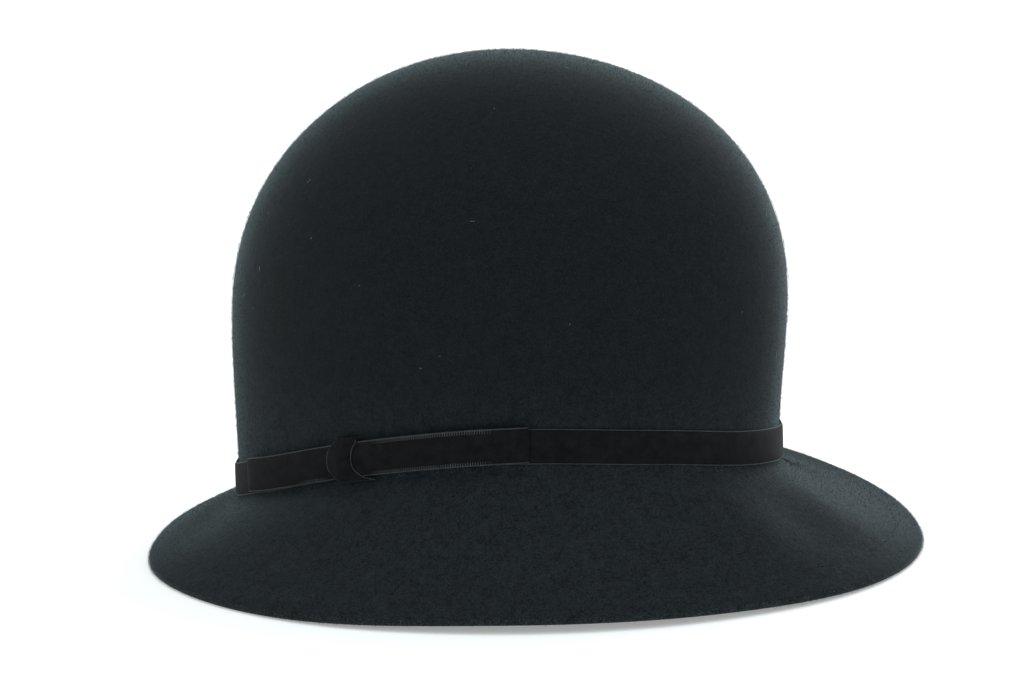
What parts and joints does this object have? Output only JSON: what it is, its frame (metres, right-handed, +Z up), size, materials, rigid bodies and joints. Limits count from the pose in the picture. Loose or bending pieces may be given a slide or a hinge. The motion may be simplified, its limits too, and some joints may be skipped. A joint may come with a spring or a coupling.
{
  "type": "cloche hat",
  "caption": "Dark wool felt cloche hat with a round crown, a soft down-turned brim, a narrow velvet ribbon that rises towards the front, and a flat tailored bow at the side.",
  "frame": {"origin": "under the middle of the hat's box, on the surface that the brim rests on", "axes": "+Z up through the crown, -Y towards the front of the hat, -X towards the wearer's right, where the bow is"},
  "size_m": [0.2468, 0.2628, 0.156],
  "materials": {
    "felt": "wool felt, dark petrol black with a short matt nap",
    "velvet": "black velvet ribbon with a cut pile and grey selvedges"
  },
  "bodies": {
    "root": {"felt_body": "felt", "ribbon_band": "velvet", "bow_knot": "velvet", "bow_wing_front": "velvet", "bow_wing_rear": "velvet"}
  },
  "joints": []
}
